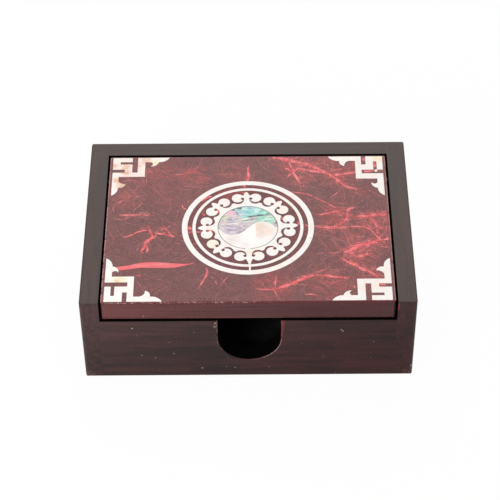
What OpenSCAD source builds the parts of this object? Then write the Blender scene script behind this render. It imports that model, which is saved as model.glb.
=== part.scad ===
// Desk box for business cards: a lacquered board box whose lid swings on two hidden pins.
// The lid is faced with fibre paper and inlaid with fret-cut mother-of-pearl and abalone.
// Frame: origin on the table under the middle of the box, +X to the right, +Y to the back, +Z up.

/* [Box] */
// Width of the box, left to right
box_w = 110; // [106:1:130]
// Depth of the box, front to back
box_d = 77.6; // [74:0.1:95]
// Height from the table to the rim
box_h = 36.5; // [33:0.5:60]
// Thickness of the two side boards
side_t = 6.3; // [5.5:0.1:8]
// Thickness of the front and back boards
end_t = 6.4; // [5:0.1:8]
// Rounding of the upper outer edges of the box
rim_r = 0.5; // [0.3:0.1:1.5]
// Rounding of the upright outer edges of the box
upright_r = 1.2; // [0.6:0.1:1.5]
// Rounding of the lower outer edges of the box
foot_r = 1.2; // [0.6:0.1:1.5]

/* [Floor] */
// Thickness of the floor board
floor_t = 3; // [2:0.1:4]
// How far the floor board runs into the walls
floor_lip = 3; // [2:0.1:4]
// Clearance of the floor board in its rabbet
floor_clear = 0.1; // [0.05:0.01:0.3]
// Thickness of the felt that lines the well
lining_t = 0.8; // [0.5:0.1:1.5]
// Clearance of the lining to the walls
lining_clear = 0.2; // [0.1:0.05:0.5]
// Thickness of the felt sheet under the box
felt_t = 0.5; // [0.4:0.1:1.5]
// How far the felt sheet stays inside the outline of the box
felt_inset = 1.6; // [1:0.1:5]

/* [Finger notch] */
// Width of the notch in the front board
notch_w = 20.9; // [16:0.1:30]
// How far the notch lies to the right of the middle
notch_shift = 0.3; // [-0.5:0.1:0.5]
// Height of the lowest point of the notch above the table
notch_low_z = 9; // [7:0.1:12]
// Easing of the outer edge of the notch
notch_ease = 0.35; // [0.2:0.05:1.2]
// Easing of the upper outer edge of the front board
front_ease = 0.3; // [0.2:0.1:0.8]

/* [Lid] */
// Thickness of the lid with its facing
lid_t = 8.2; // [7.4:0.1:9]
// Gap between the lid and each side board
lid_side_gap = 0.74; // [0.5:0.02:1.2]
// Gap between the lid and the back board
lid_back_gap = 0.9; // [0.8:0.02:1.2]
// How far the front of the lid stands back from the front of the box
lid_setback = 0.8; // [0.1:0.1:1.5]
// Gap between the closed lid and the front board
lid_seat_gap = 0.3; // [0.2:0.05:0.6]
// Rounding of the lower and upright edges of the lid
lid_edge_r = 0.8; // [0.6:0.1:1.2]
// Easing of the upper edges of the lid
lid_top_ease = 0.3; // [0.1:0.05:0.35]
// Thickness of the fibre-paper facing
facing_t = 0.5; // [0.4:0.05:0.8]

/* [Hinge] */
// Diameter of the pivot pins
pin_d = 2; // [1.6:0.1:2.4]
// Length of a pin inside its side board
pin_hold = 4; // [3:0.1:4.6]
// Length of a pin inside the lid
pin_reach = 6; // [4:0.5:10]
// Distance of the pivot from the back edge of the lid
pin_inset = 9; // [8.5:0.1:10.5]
// Distance of the pivot below the top of the lid
pin_drop = 3.7; // [3.3:0.1:3.9]
// Clearance all round between pin and lid
pin_clear = 0.06; // [0.02:0.01:0.1]
// Room past each end of a pin
pin_end_room = 0.3; // [0.2:0.05:0.6]

/* [Shell inlay] */
// How far the shell stands above the facing
inlay_proud = 0.05; // [0.02:0.01:0.1]
// Glue line round every piece of shell
glue = 0.06; // [0.03:0.01:0.1]

/* [Swirl disc] */
// Radius of the divided disc in the middle
disc_r = 10.1; // [9.5:0.1:11]
// Radius of the round head of the abalone half
abalone_head_r = 5.1; // [4.8:0.1:5.2]
// Distance of that head's middle left of the centre
abalone_head_x = 5.1; // [4.9:0.1:5.4]
// Depth of that head below the level diameter
abalone_sag = 3.3; // [2.5:0.1:3.6]
// Radius of the round head of the pearl half
pearl_head_r = 4.85; // [4.5:0.05:5.1]
// Distance of that head's middle right of the centre
pearl_head_x = 4.8; // [4.6:0.1:5.2]
// Rise of that head above the level diameter
pearl_sag = 2.55; // [2:0.05:3.5]
// Joint inside the abalone half: height above the centre where it bends
abalone_joint_y = 4.4; // [4:0.1:6]
// Joint inside the abalone half: distance left of the centre where it bends
abalone_joint_x = 2; // [1:0.1:3]
// Slope of the upper stretch of that joint from the upright
abalone_joint_lean = 27; // [10:1:35]
// Rise of the long stretch of that joint to the right, in degrees
abalone_joint_rise = 8; // [0:1:12]
// Joint inside the pearl half: distance right of the centre
pearl_joint_x = 2.6; // [2:0.1:4]

/* [Scroll medallion] */
// Number of cloud heads round the medallion
head_count = 8; // [7:1:9]
// Width of the band round the disc at its narrowest
band_w = 1.2; // [1:0.1:2]
// Rise of the band's cusps between neighbouring heads
cusp_rise = 0.9; // [0.7:0.1:1.4]
// Radius of one curl
curl_r = 2; // [1.75:0.05:2.1]
// Gap between the curls of neighbouring heads
curl_gap = 1.05; // [0.6:0.05:1.2]
// Widest part of the crescent cut under a curl
crescent_w = 0.9; // [0.7:0.05:1.1]
// Lean of the crescent cut towards the stem of its head, in degrees
crescent_lean = 5; // [0:1:12]
// Radius of the eye at the inner end of the crescent
eye_r = 0.6; // [0.45:0.05:0.65]
// Place of the eye round the curl, in degrees below the level
eye_turn = 11; // [8:1:20]
// How far the middle of the eye lies inside the curl's edge
eye_depth = 0.35; // [0:0.05:0.35]
// Rise of the pointed bud above the curls
bud_rise = 1; // [0.6:0.05:1.2]
// Width of the bud
bud_w = 2; // [1.6:0.1:2.4]
// Length of the bud
bud_len = 4; // [3.5:0.1:4.5]
// Depth of the dip between bud and curl
dip = 0.7; // [0.4:0.05:0.9]
// Turn of the medallion against the lid, as it was laid
medallion_turn = 1.8; // [0:0.1:4]
// How far the divided disc lies in front of the middle of the medallion
disc_drop = 0.3; // [0:0.1:0.4]

/* [Rings] */
// How far the rings and the medallion lie in front of the middle of the lid
ring_drop = 0.25; // [0:0.05:0.5]
// Gap between the buds and the inner ring
inner_ring_gap = 0.7; // [0.6:0.05:1.5]
// Width of the inner ring
inner_ring_w = 1.1; // [0.8:0.1:2]
// Gap between the two rings
ring_gap = 1.65; // [1:0.05:2.5]
// Width of the outer ring
outer_ring_w = 1.9; // [1.2:0.1:2.5]
// Width of the tie between the rings
tie_w = 0.6; // [0.4:0.1:1]

/* [Corner fret] */
// Distance of the corner pieces from the side edges of the lid
fret_side_inset = 1; // [0.6:0.1:2]
// Distance of the front corner pieces from the front edge of the lid
fret_front_inset = 0.4; // [0.4:0.1:2]
// Distance of the back corner pieces from the back edge of the lid
fret_back_inset = 0.5; // [0.5:0.1:2]
// Width of the outer uprights of the fret
fret_bar = 2.1; // [1.7:0.1:2.4]
// Width of the middle upright of the fret
fret_middle = 2.6; // [2.2:0.1:3]
// Height of the rails of the fret
fret_rail = 2.6; // [2.2:0.1:3]
// Width of the long slot
long_slot = 1.9; // [1.4:0.1:2.2]
// Width of the slot that branches from the long one
branch_slot = 1.2; // [0.9:0.1:1.6]
// Width of the short slot
short_slot = 1.55; // [1.2:0.05:1.9]
// Height of the short slot
short_slot_h = 4.15; // [3.5:0.05:4.8]
// Width of the two arms
arm_w = 2.2; // [1.9:0.1:2.4]
// Length of the arm that runs on along the first edge, past the fret
upper_arm_len = 8.4; // [7.5:0.1:10]
// Length of the arm that runs on along the second edge, past the fret
lower_arm_len = 9.4; // [8.5:0.1:11]
// Length of the tapered tip of an arm
arm_tip = 3.6; // [2.5:0.1:4]
// Place of the thorn along the first arm
upper_thorn_x = 2.2; // [2:0.05:2.25]
// Height of that thorn's middle above the inner edge of the arm
upper_thorn_lift = -0.4; // [-0.6:0.05:-0.2]
// Radius of the back of that thorn
upper_thorn_r = 2.5; // [2.3:0.05:2.7]
// How far the hollow of that thorn lies back from its middle
upper_hollow_back = 0.7; // [0.5:0.05:0.9]
// Height of the middle of that hollow above the inner edge of the arm
upper_hollow_lift = 1; // [0.9:0.05:1.1]
// Radius of that hollow
upper_hollow_r = 1.1; // [0.95:0.05:1.2]
// Place of the thorn along the second arm
lower_thorn_x = 3.4; // [3.2:0.05:3.8]
// Height of that thorn's middle above the inner edge of the arm
lower_thorn_lift = 0.5; // [0.3:0.05:0.7]
// Radius of the back of that thorn
lower_thorn_r = 2.1; // [2:0.05:2.3]
// How far the hollow of that thorn lies back from its middle
lower_hollow_back = 2; // [1.8:0.05:2.2]
// Height of the middle of that hollow above the inner edge of the arm
lower_hollow_lift = 2.3; // [2.2:0.05:2.5]
// Radius of that hollow
lower_hollow_r = 2.4; // [2.3:0.05:2.5]

/* [Hidden] */
$fn = 128;
// Overlap by which cutters run past the faces that they cut
over = 1;
// How far the straight line of the S-shaped joint starts inside the arcs that it joins
line_bite = 0.02;

half_w = box_w / 2;
half_d = box_d / 2;
well_w = box_w - 2 * side_t;
front_y = -half_d;
well_front_y = front_y + end_t;
well_back_y = half_d - end_t;
well_d = well_back_y - well_front_y;
board_h = box_h - felt_t;
floor_top_z = felt_t + floor_t;

lid_w = well_w - 2 * lid_side_gap;
lid_front_y = front_y + lid_setback;
lid_back_y = well_back_y - lid_back_gap;
lid_d = lid_back_y - lid_front_y;
lid_mid_y = (lid_front_y + lid_back_y) / 2;
lid_low_z = box_h - lid_t;
facing_low_z = box_h - facing_t;
front_top_z = lid_low_z - lid_seat_gap;
notch_r = notch_w / 2;
notch_mid_z = notch_low_z + notch_r;

hinge_y = lid_back_y - pin_inset;
hinge_z = box_h - pin_drop;
pin_r = pin_d / 2;
pin_inner_x = lid_w / 2 - pin_reach;
pin_outer_x = well_w / 2 + pin_hold;

inlay_t = facing_t + inlay_proud;
// Radius on which the centres of the curls lie, and the angle from a head's axis to a curl
curl_orbit = disc_r + glue + band_w + crescent_w + curl_r;
curl_angle = 180 / head_count - asin((curl_r + curl_gap / 2) / curl_orbit);
curl_x = curl_orbit * sin(curl_angle);
curl_y = curl_orbit * cos(curl_angle);
body_r = disc_r + glue + band_w + cusp_rise;
shoulder_y = curl_y + curl_r - dip;
shoulder_w = 2 * curl_x - curl_r / 2;
bud_tip_r = curl_y + curl_r + bud_rise;
inner_ring_in_r = bud_tip_r + inner_ring_gap;
inner_ring_out_r = inner_ring_in_r + inner_ring_w;
outer_ring_in_r = inner_ring_out_r + ring_gap;
outer_ring_out_r = outer_ring_in_r + outer_ring_w;

fret_w = 2 * fret_bar + fret_middle + branch_slot + short_slot;
long_slot_y = short_slot_h + fret_rail;
fret_h = long_slot_y + long_slot + fret_rail;
corner_x = lid_w / 2 - fret_side_inset;
corner_front_y = lid_front_y + fret_front_inset;
corner_back_y = lid_back_y - fret_back_inset;

lacquer_color = "#4d3233";
felt_color = "#151313";
facing_color = "#7c5553";
pearl_color = "#f4ece2";
abalone_color = "#6d8f9a";
steel_color = "#b9bcc0";

// Rectangle from the origin, with the radius low_r on its lower and high_r on its upper corners
module eased_rect(w, h, low_r, high_r) {
    translate([0, low_r])
        square([w, h - low_r - high_r]);
    translate([low_r, 0])
        square([w - 2 * low_r, h / 2]);
    translate([high_r, h / 2])
        square([w - 2 * high_r, h / 2]);
    for (x = [low_r, w - low_r])
        translate([x, low_r])
            circle(low_r);
    for (x = [high_r, w - high_r])
        translate([x, h - high_r])
            circle(high_r);
}

// Block from the origin, rounded on its upright edges and eased on its lower and upper edges
module eased_block(w, d, h, upright_r, low_r, high_r) {
    intersection() {
        linear_extrude(h)
            eased_rect(w, d, upright_r, upright_r);
        translate([0, d, 0])
            rotate([90, 0, 0])
                linear_extrude(d)
                    eased_rect(w, h, low_r, high_r);
        rotate([90, 0, 90])
            linear_extrude(w)
                eased_rect(d, h, low_r, high_r);
    }
}

// Outer form of the box, from which the walls are cut
module box_form() {
    translate([-half_w, front_y, felt_t])
        eased_block(box_w, box_d, board_h, upright_r, foot_r, rim_r);
}

// Outer form of the lid, from which its board and facing are cut
module lid_form() {
    translate([-lid_w / 2, lid_front_y, lid_low_z])
        eased_block(lid_w, lid_d, lid_t, lid_edge_r, lid_edge_r, lid_top_ease);
}

// Floor board with a margin, which also cuts its rabbet in the walls
module floor_form(margin) {
    translate([-well_w / 2 - floor_lip - margin, well_front_y - floor_lip - margin, felt_t - margin])
        cube([
            well_w + 2 * (floor_lip + margin),
            well_d + 2 * (floor_lip + margin),
            floor_t + 2 * margin
        ]);
}

// Round bar along X between two places
module bar_x(from_x, to_x, r) {
    translate([from_x, hinge_y, hinge_z])
        rotate([0, 90, 0])
            cylinder(h = to_x - from_x, r = r);
}

// Profile of what comes off a square edge to leave it round with radius r
module edge_nib(r) {
    difference() {
        translate([-over, -over])
            square(r + over);
        translate([r, r])
            circle(r);
    }
}

// Side board at the right, with the rabbet for the floor and the blind hole for the pin
module side_board() {
    difference() {
        intersection() {
            box_form();
            translate([well_w / 2, front_y - over, 0])
                cube([side_t + over, box_d + 2 * over, box_h + over]);
        }
        floor_form(floor_clear);
        bar_x(well_w / 2 - over, pin_outer_x + pin_end_room, pin_r);
    }
}

module left_panel() {
    color(lacquer_color)
        mirror([1, 0, 0])
            side_board();
}

module right_panel() {
    color(lacquer_color)
        side_board();
}

module back_panel() {
    color(lacquer_color)
        difference() {
            intersection() {
                box_form();
                translate([-well_w / 2, well_back_y, 0])
                    cube([well_w, end_t + over, box_h + over]);
            }
            floor_form(floor_clear);
        }
}

// U-shaped finger notch, and the rounding of its outer edge
module notch_cut() {
    translate([notch_shift, well_front_y + over, notch_mid_z])
        rotate([90, 0, 0])
            linear_extrude(end_t + 2 * over) {
                circle(notch_r);
                translate([-notch_r, 0])
                    square([notch_w, box_h]);
            }
    translate([notch_shift, front_y, notch_mid_z]) {
        rotate([-90, 0, 0])
            rotate_extrude(angle = 180)
                translate([notch_r, 0])
                    edge_nib(notch_ease);
        for (side = [0, 1])
            mirror([side, 0, 0])
                translate([notch_r, 0, 0])
                    linear_extrude(box_h)
                        edge_nib(notch_ease);
    }
}

module front_panel() {
    color(lacquer_color)
        difference() {
            intersection() {
                box_form();
                translate([-well_w / 2, front_y - over, 0])
                    cube([well_w, end_t + over, front_top_z]);
            }
            notch_cut();
            translate([-half_w, front_y, front_top_z])
                rotate([90, 0, 90])
                    mirror([0, 1, 0])
                        linear_extrude(box_w)
                            edge_nib(front_ease);
            floor_form(floor_clear);
        }
}

module floor_panel() {
    color(lacquer_color)
        floor_form(0);
}

module floor_lining() {
    color(felt_color)
        translate([-well_w / 2 + lining_clear, well_front_y + lining_clear, floor_top_z])
            cube([well_w - 2 * lining_clear, well_d - 2 * lining_clear, lining_t]);
}

module base_felt() {
    color(felt_color)
        translate([-half_w + felt_inset, front_y + felt_inset, 0])
            cube([box_w - 2 * felt_inset, box_d - 2 * felt_inset, felt_t]);
}

module left_pivot_pin() {
    color(steel_color)
        bar_x(-pin_outer_x, -pin_inner_x, pin_r);
}

module right_pivot_pin() {
    color(steel_color)
        bar_x(pin_inner_x, pin_outer_x, pin_r);
}

module lid_board() {
    color(lacquer_color)
        difference() {
            intersection() {
                lid_form();
                translate([-half_w, front_y, 0])
                    cube([box_w, box_d, facing_low_z]);
            }
            for (side = [0, 1])
                mirror([side, 0, 0])
                    bar_x(pin_inner_x - pin_end_room, half_w, pin_r + pin_clear);
        }
}

// Arm of a corner piece along X, with a pointed tip and a thorn that curls back over its hollow
module arm(len, thorn_x, thorn_lift, thorn_r, hollow_back, hollow_lift, hollow_r, grow) {
    tip_r = (arm_tip * arm_tip + arm_w * arm_w) / (2 * arm_w);
    straight = len - arm_tip;
    translate([-fret_bar, -grow])
        square([straight + fret_bar, arm_w + 2 * grow]);
    intersection() {
        translate([straight - arm_w / 2, -grow])
            square([arm_tip + arm_w, arm_w + 2 * grow]);
        translate([straight, arm_w - tip_r])
            circle(tip_r + grow);
    }
    difference() {
        translate([thorn_x, arm_w + thorn_lift])
            circle(thorn_r + grow);
        translate([thorn_x - hollow_back, arm_w + hollow_lift])
            circle(hollow_r - grow);
        translate([thorn_x - 2 * thorn_r, arm_w / 2 - 2 * thorn_r])
            square([4 * thorn_r, 2 * thorn_r]);
        translate([thorn_x - hollow_back - 2 * thorn_r, arm_w + grow])
            square([2 * thorn_r, 2 * thorn_r]);
    }
}

// Corner piece with its corner at the origin: a key fret and two thorned arms along the lid's edges
module corner_outline(grow) {
    difference() {
        translate([-grow, -grow])
            square([fret_w + 2 * grow, fret_h + 2 * grow]);
        translate([-over, long_slot_y + grow])
            square([fret_w - fret_bar + over - grow, long_slot - 2 * grow]);
        translate([fret_bar + grow, fret_rail + grow])
            square([branch_slot - 2 * grow, long_slot_y - fret_rail]);
        translate([fret_w - fret_bar - short_slot + grow, -over])
            square([short_slot - 2 * grow, short_slot_h + over - grow]);
    }
    translate([fret_w, 0])
        arm(
            lower_arm_len,
            lower_thorn_x, lower_thorn_lift, lower_thorn_r,
            lower_hollow_back, lower_hollow_lift, lower_hollow_r,
            grow
        );
    mirror([1, -1, 0])
        translate([fret_h, 0])
            arm(
                upper_arm_len,
                upper_thorn_x, upper_thorn_lift, upper_thorn_r,
                upper_hollow_back, upper_hollow_lift, upper_hollow_r,
                grow
            );
}

// Corner piece in its place on the lid, counted anticlockwise from the front left
module placed_corner(index, grow) {
    at_right = index == 1 || index == 2;
    at_back = index >= 2;
    translate([at_right ? corner_x : -corner_x, at_back ? corner_back_y : corner_front_y])
        rotate(90 * index)
            corner_outline(grow);
}

// Repeats a drawing at every cloud head, whose axis is +Y
module each_head() {
    for (i = [0 : head_count - 1])
        rotate(360 * i / head_count)
            children();
}

// Repeats a drawing at both curls of every head, where $side is -1 at the left and 1 at the right
module each_curl() {
    each_head()
        for ($side = [-1, 1])
            translate([$side * curl_x, curl_y])
                children();
}

// Pointed bud on the axis of a head
module bud(grow) {
    half_len = bud_len / 2;
    arc_r = (half_len * half_len + bud_w * bud_w / 4) / bud_w;
    translate([0, bud_tip_r - half_len])
        intersection_for(side = [-1, 1])
            translate([side * (arc_r - bud_w / 2), 0])
                circle(arc_r + grow);
}

// Taper from the foremost bud to the inner ring
module taper(grow) {
    start_y = bud_tip_r - bud_len / 2;
    end_y = inner_ring_in_r - glue + grow;
    rotate(180)
        polygon([
            [-bud_w / 2 - grow, start_y],
            [bud_w / 2 + grow, start_y],
            [tie_w / 2 + grow, end_y],
            [-tie_w / 2 - grow, end_y]
        ]);
}

// Outer outline of the medallion, filled inside: heads on a band, each with a stem, two curls and a bud
module medallion_outline(grow) {
    difference() {
        union() {
            difference() {
                union() {
                    circle(body_r + grow);
                    each_head()
                        translate([-shoulder_w / 2, 0])
                            square([shoulder_w, shoulder_y + grow]);
                }
                each_curl()
                    rotate(-$side * crescent_lean)
                        translate([0, -crescent_w])
                            circle(curl_r - grow);
            }
            each_curl()
                circle(curl_r + grow);
            each_head()
                bud(grow);
            taper(grow);
        }
        each_curl()
            rotate($side * eye_turn)
                translate([$side * (eye_depth - curl_r), 0])
                    circle(eye_r - grow);
    }
}

// Places a drawing of the rings or the medallion on the lid
module on_rings() {
    translate([0, lid_mid_y - ring_drop])
        rotate(medallion_turn)
            children();
}

// Places a drawing of the divided disc on the lid
module on_disc() {
    translate([0, -disc_drop])
        on_rings()
            children();
}

// Flat ring between two radii
module ring_outline(in_r, out_r) {
    difference() {
        circle(out_r);
        circle(in_r);
    }
}

// Inner ring with the tie that runs out to the outer ring
module inner_ring_outline(grow) {
    ring_outline(inner_ring_in_r - grow, inner_ring_out_r + grow);
    intersection() {
        translate([-tie_w / 2 - grow, -outer_ring_out_r])
            square([tie_w + 2 * grow, outer_ring_out_r - inner_ring_in_r - inner_ring_w / 2]);
        circle(outer_ring_in_r - glue + grow);
    }
}

// Raises an outline into a piece of shell on the lid board
module shell() {
    translate([0, 0, facing_low_z])
        linear_extrude(inlay_t)
            children();
}

module lid_facing() {
    color(facing_color)
        difference() {
            intersection() {
                lid_form();
                translate([-half_w, front_y, facing_low_z])
                    cube([box_w, box_d, lid_t]);
            }
            translate([0, 0, facing_low_z - over])
                linear_extrude(lid_t) {
                    for (index = [0 : 3])
                        placed_corner(index, glue);
                    on_rings() {
                        ring_outline(outer_ring_in_r - glue, outer_ring_out_r + glue);
                        inner_ring_outline(glue);
                        medallion_outline(glue);
                    }
                }
        }
}

module outer_ring() {
    color(pearl_color)
        shell()
            on_rings()
                ring_outline(outer_ring_in_r, outer_ring_out_r);
}

module inner_ring() {
    color(pearl_color)
        shell()
            on_rings()
                inner_ring_outline(0);
}

module scroll_medallion() {
    color(pearl_color)
        shell()
            difference() {
                on_rings()
                    medallion_outline(0);
                on_disc()
                    circle(disc_r + glue);
            }
}

// Half of the disc above its S-shaped joint: two round heads and the straight line between them
module upper_swirl(grow) {
    low_r = abalone_head_r + grow;
    high_r = pearl_head_r - grow;
    low_mid = [-abalone_head_x, abalone_head_r - abalone_sag];
    high_mid = [pearl_head_x, pearl_sag - pearl_head_r];
    way = high_mid - low_mid;
    heading = atan2(way[1], way[0]) - acos((low_r + high_r) / norm(way));
    touch = [cos(heading), sin(heading)];
    line_low = low_mid + (low_r - line_bite) * touch;
    line_high = high_mid - (high_r - line_bite) * touch;
    level = (line_low[1] + line_high[1]) / 2;
    intersection() {
        circle(disc_r);
        difference() {
            union() {
                polygon([
                    [-box_w, level],
                    [low_mid[0], level],
                    line_low,
                    line_high,
                    [high_mid[0], level],
                    [box_w, level],
                    [box_w, box_w],
                    [-box_w, box_w]
                ]);
                translate(low_mid)
                    circle(low_r);
            }
            translate(high_mid)
                circle(high_r);
        }
    }
}

// What lies above and to the right of the bent joint in the abalone
module crown_side(grow) {
    translate([-abalone_joint_x, abalone_joint_y])
        intersection() {
            rotate(abalone_joint_rise)
                translate([-box_w / 2, -grow])
                    square(box_w);
            rotate(abalone_joint_lean)
                translate([-grow, -box_w / 2])
                    square(box_w);
        }
}

module abalone_crown() {
    color(abalone_color)
        shell()
            on_disc()
                intersection() {
                    upper_swirl(-glue / 2);
                    crown_side(-glue / 2);
                }
}

module abalone_tail() {
    color(abalone_color)
        shell()
            on_disc()
                difference() {
                    upper_swirl(-glue / 2);
                    crown_side(glue / 2);
                }
}

// Half of the disc below its S-shaped joint, on one side of the straight joint in the pearl
module lower_swirl(from_x, to_x) {
    intersection() {
        difference() {
            circle(disc_r);
            upper_swirl(glue / 2);
        }
        translate([from_x, -box_w / 2])
            square([to_x - from_x, box_w]);
    }
}

module pearl_tail() {
    color(pearl_color)
        shell()
            on_disc()
                lower_swirl(-box_w / 2, pearl_joint_x - glue / 2);
}

module pearl_head() {
    color(pearl_color)
        shell()
            on_disc()
                lower_swirl(pearl_joint_x + glue / 2, box_w / 2);
}

module corner_inlay(index) {
    color(pearl_color)
        shell()
            placed_corner(index, 0);
}

front_panel();
back_panel();
left_panel();
right_panel();
floor_panel();
floor_lining();
base_felt();
left_pivot_pin();
right_pivot_pin();
lid_board();
lid_facing();
outer_ring();
inner_ring();
scroll_medallion();
abalone_crown();
abalone_tail();
pearl_tail();
pearl_head();
corner_inlay(0);  // corner_inlay_front_left
corner_inlay(1);  // corner_inlay_front_right
corner_inlay(2);  // corner_inlay_back_right
corner_inlay(3);  // corner_inlay_back_left
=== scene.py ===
import math
import random

import bmesh
import bpy
from mathutils import Matrix, Vector, noise


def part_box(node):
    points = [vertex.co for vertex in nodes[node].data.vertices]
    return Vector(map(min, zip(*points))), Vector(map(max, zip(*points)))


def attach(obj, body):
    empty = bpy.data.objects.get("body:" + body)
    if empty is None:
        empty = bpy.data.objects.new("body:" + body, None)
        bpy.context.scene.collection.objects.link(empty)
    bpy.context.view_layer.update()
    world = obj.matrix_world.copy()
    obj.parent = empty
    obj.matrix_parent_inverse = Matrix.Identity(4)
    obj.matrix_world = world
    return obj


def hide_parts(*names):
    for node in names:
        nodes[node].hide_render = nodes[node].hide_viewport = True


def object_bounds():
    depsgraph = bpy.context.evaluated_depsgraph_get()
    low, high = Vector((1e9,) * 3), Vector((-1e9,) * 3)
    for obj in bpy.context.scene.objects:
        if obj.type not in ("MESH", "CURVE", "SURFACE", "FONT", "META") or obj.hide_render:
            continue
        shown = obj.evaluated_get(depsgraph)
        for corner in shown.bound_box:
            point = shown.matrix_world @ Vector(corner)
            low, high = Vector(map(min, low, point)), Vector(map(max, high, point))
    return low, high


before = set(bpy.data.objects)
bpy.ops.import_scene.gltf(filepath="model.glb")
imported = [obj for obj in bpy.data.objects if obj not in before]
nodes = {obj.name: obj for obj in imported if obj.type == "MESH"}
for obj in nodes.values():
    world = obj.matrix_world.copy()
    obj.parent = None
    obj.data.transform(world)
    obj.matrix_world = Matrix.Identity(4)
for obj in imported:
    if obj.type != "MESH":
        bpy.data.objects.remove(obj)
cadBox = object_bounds()
mm = 0.001
print("frame loaded:", len(nodes), "nodes")


def nodeBox(*names):
    # the common box of some nodes, in millimetres
    lows = [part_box(name)[0] for name in names]
    highs = [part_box(name)[1] for name in names]
    low = Vector([min(corner[axis] for corner in lows) for axis in range(3)])
    high = Vector([max(corner[axis] for corner in highs) for axis in range(3)])
    return low / mm, high / mm


# Places that several finishes share, in millimetres of the row frame
boxLow, boxHigh = [corner / mm for corner in cadBox]
lidLow, lidHigh = nodeBox("lid_facing")
boardLow, boardHigh = nodeBox("lid_board")
rimZ = nodeBox("left_panel")[1].z
frontTopZ = nodeBox("front_panel")[1].z
wellHalfWidth = nodeBox("right_panel")[0].x
wellBackY = nodeBox("back_panel")[0].y
wellFrontY = nodeBox("front_panel")[1].y
ringLow, ringHigh = nodeBox("outer_ring")
ringMiddle = (ringLow + ringHigh) / 2
discLow, discHigh = nodeBox("abalone_crown", "abalone_tail", "pearl_tail", "pearl_head")
discMiddle = (discLow + discHigh) / 2
discRadius = (discHigh.x - discLow.x) / 2


def tone(red, green, blue):
    # a colour as a picture shows it, 0 to 255, as the linear colour that a shader takes
    linear = []
    for part in (red, green, blue):
        share = part / 255
        linear.append(share / 12.92 if share <= 0.04045 else ((share + 0.055) / 1.055) ** 2.4)
    return (*linear, 1.0)


class Wire:
    # a shader socket that takes part in plain maths: each operator adds one Math node
    def __init__(self, tree, socket=None):
        self.tree = tree
        self.socket = socket

    # any other node: its settings first, then the values or links of its sockets
    def node(self, kind, settings=(), sockets=(), output=0):
        made = self.tree.nodes.new(kind)
        for name, value in dict(settings).items():
            setattr(made, name, value)
        for name, value in dict(sockets).items():
            if isinstance(value, Wire):
                self.tree.links.new(value.socket, made.inputs[name])
            else:
                made.inputs[name].default_value = value
        return Wire(self.tree, made.outputs[output] if len(made.outputs) else None)

    def other(self, output):
        return Wire(self.tree, self.socket.node.outputs[output])

    def calc(self, operation, *values):
        return self.node("ShaderNodeMath", {"operation": operation}, enumerate(values))

    def __add__(self, value):
        return self.calc("ADD", self, value)

    def __radd__(self, value):
        return self.calc("ADD", value, self)

    def __sub__(self, value):
        return self.calc("SUBTRACT", self, value)

    def __rsub__(self, value):
        return self.calc("SUBTRACT", value, self)

    def __mul__(self, value):
        return self.calc("MULTIPLY", self, value)

    def __rmul__(self, value):
        return self.calc("MULTIPLY", value, self)

    def __abs__(self):
        return self.calc("ABSOLUTE", self)

    def __lt__(self, value):
        return self.calc("LESS_THAN", self, value)

    def __gt__(self, value):
        return self.calc("GREATER_THAN", self, value)

    # 0 below low and 1 above high, smooth in between
    def rise(self, low, high):
        return self.node("ShaderNodeMapRange", {"interpolation_type": "SMOOTHSTEP"},
                         {"Value": self, "From Min": low, "From Max": high})

    def fall(self, low, high):
        return 1 - self.rise(low, high)

    # this wire as the mask between two colours
    def mix(self, first, second):
        return self.node("ShaderNodeMix", {"data_type": "RGBA"}, {0: self, 6: first, 7: second}, 2)


def startFinish(name):
    material = bpy.data.materials.new(name)
    material.use_nodes = True
    material.node_tree.nodes.clear()
    return material, Wire(material.node_tree)


def coat(paint, color, roughness, height, bump, fixed):
    normal = paint.node("ShaderNodeBump", {}, {"Height": height, "Distance": bump * mm})
    return paint.node("ShaderNodeBsdfPrincipled", {},
                      {"Base Color": color, "Roughness": roughness, "Normal": normal, **fixed})


def closeFinish(paint, shader):
    paint.node("ShaderNodeOutputMaterial", {}, {"Surface": shader})


def giveFinish(names, material):
    for name in names:
        nodes[name].data.materials.clear()
        nodes[name].data.materials.append(material)


def placeInMm(paint):
    place = paint.node("ShaderNodeTexCoord", output="Object")
    return paint.node("ShaderNodeVectorMath", {"operation": "SCALE"}, {0: place, "Scale": 1 / mm})


def stretched(place, factors):
    return place.node("ShaderNodeVectorMath", {"operation": "MULTIPLY"}, {0: place, 1: factors})


def moved(place, offset):
    return place.node("ShaderNodeVectorMath", {"operation": "ADD"}, {0: place, 1: offset})


def turned(place, degrees):
    return place.node("ShaderNodeVectorRotate", {"rotation_type": "Z_AXIS"},
                      {"Vector": place, "Angle": math.radians(degrees)})


def cloud(place, scale, detail=2.0, output=0):
    return place.node("ShaderNodeTexNoise", {}, {"Vector": place, "Scale": scale, "Detail": detail}, output)


# The place pushed about by a slow noise, so that what is drawn there flows
def warped(place, scale, amount):
    push = moved(cloud(place, scale, 2.0, "Color"), (-0.5, -0.5, -0.5))
    return moved(place, stretched(push, (amount, amount, amount)))


def split(place):
    first = place.node("ShaderNodeSeparateXYZ", {}, {0: place})
    return first, first.other(1), first.other(2)


def larger(first, second):
    return first.calc("MAXIMUM", first, second)


def smaller(first, second):
    return first.calc("MINIMUM", first, second)


def away(across, along):
    return across.calc("SQRT", across * across + along * along)


# Round spot with a soft edge
def spot(x, y, middle, radius, core=0.3):
    return away(x - middle[0], y - middle[1]).fall(core * radius, radius)


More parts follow.
